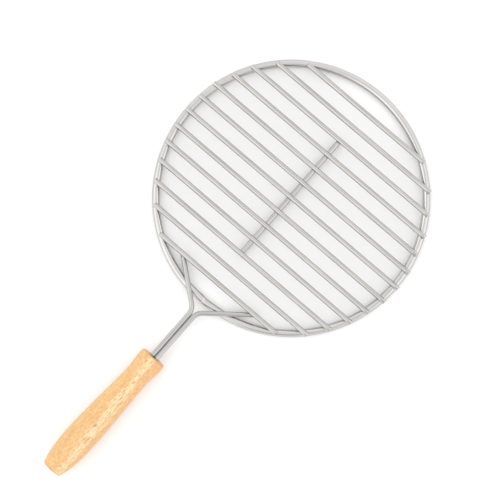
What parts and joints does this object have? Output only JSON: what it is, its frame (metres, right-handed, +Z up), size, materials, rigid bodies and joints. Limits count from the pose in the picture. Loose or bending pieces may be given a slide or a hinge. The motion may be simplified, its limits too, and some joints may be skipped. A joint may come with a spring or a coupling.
{
  "type": "grill grate",
  "caption": "Round flat wire grate for grilling: parallel bars welded on a thick ring, a brace under them, and a Y of twin wires leading to a turned wooden handle.",
  "frame": {"origin": "centre of the ring, on the surface that the grate lies on", "axes": "+Z up, away from that surface; +Y from the handle across the ring to its far side; the bars run along X"},
  "size_m": [0.2207, 0.3932, 0.0248],
  "materials": {
    "ring_steel": "bright plated steel wire, drawn, faint lengthwise die lines",
    "wire_steel": "bright plated steel wire, drawn, slightly duller than the ring",
    "weld_metal": "small matt resistance welds",
    "handle_wood": "light open-pored hardwood, clear satin lacquer"
  },
  "bodies": {
    "root": {"ring_frame": "ring_steel", "ring_butt_weld": "weld_metal", "grate_bar_01": "wire_steel", "grate_bar_02": "wire_steel", "grate_bar_03": "wire_steel", "grate_bar_04": "wire_steel", "grate_bar_05": "wire_steel", "grate_bar_06": "wire_steel", "grate_bar_07": "wire_steel", "grate_bar_08": "wire_steel", "grate_bar_09": "wire_steel", "grate_bar_10": "wire_steel", "grate_bar_11": "wire_steel", "grate_bar_12": "wire_steel", "grate_bar_13": "wire_steel", "centre_brace": "wire_steel", "handle_wire_left": "wire_steel", "handle_wire_right": "wire_steel", "wooden_handle": "handle_wood", "bar_welds": "weld_metal", "brace_welds": "weld_metal", "handle_welds": "weld_metal"}
  },
  "joints": []
}
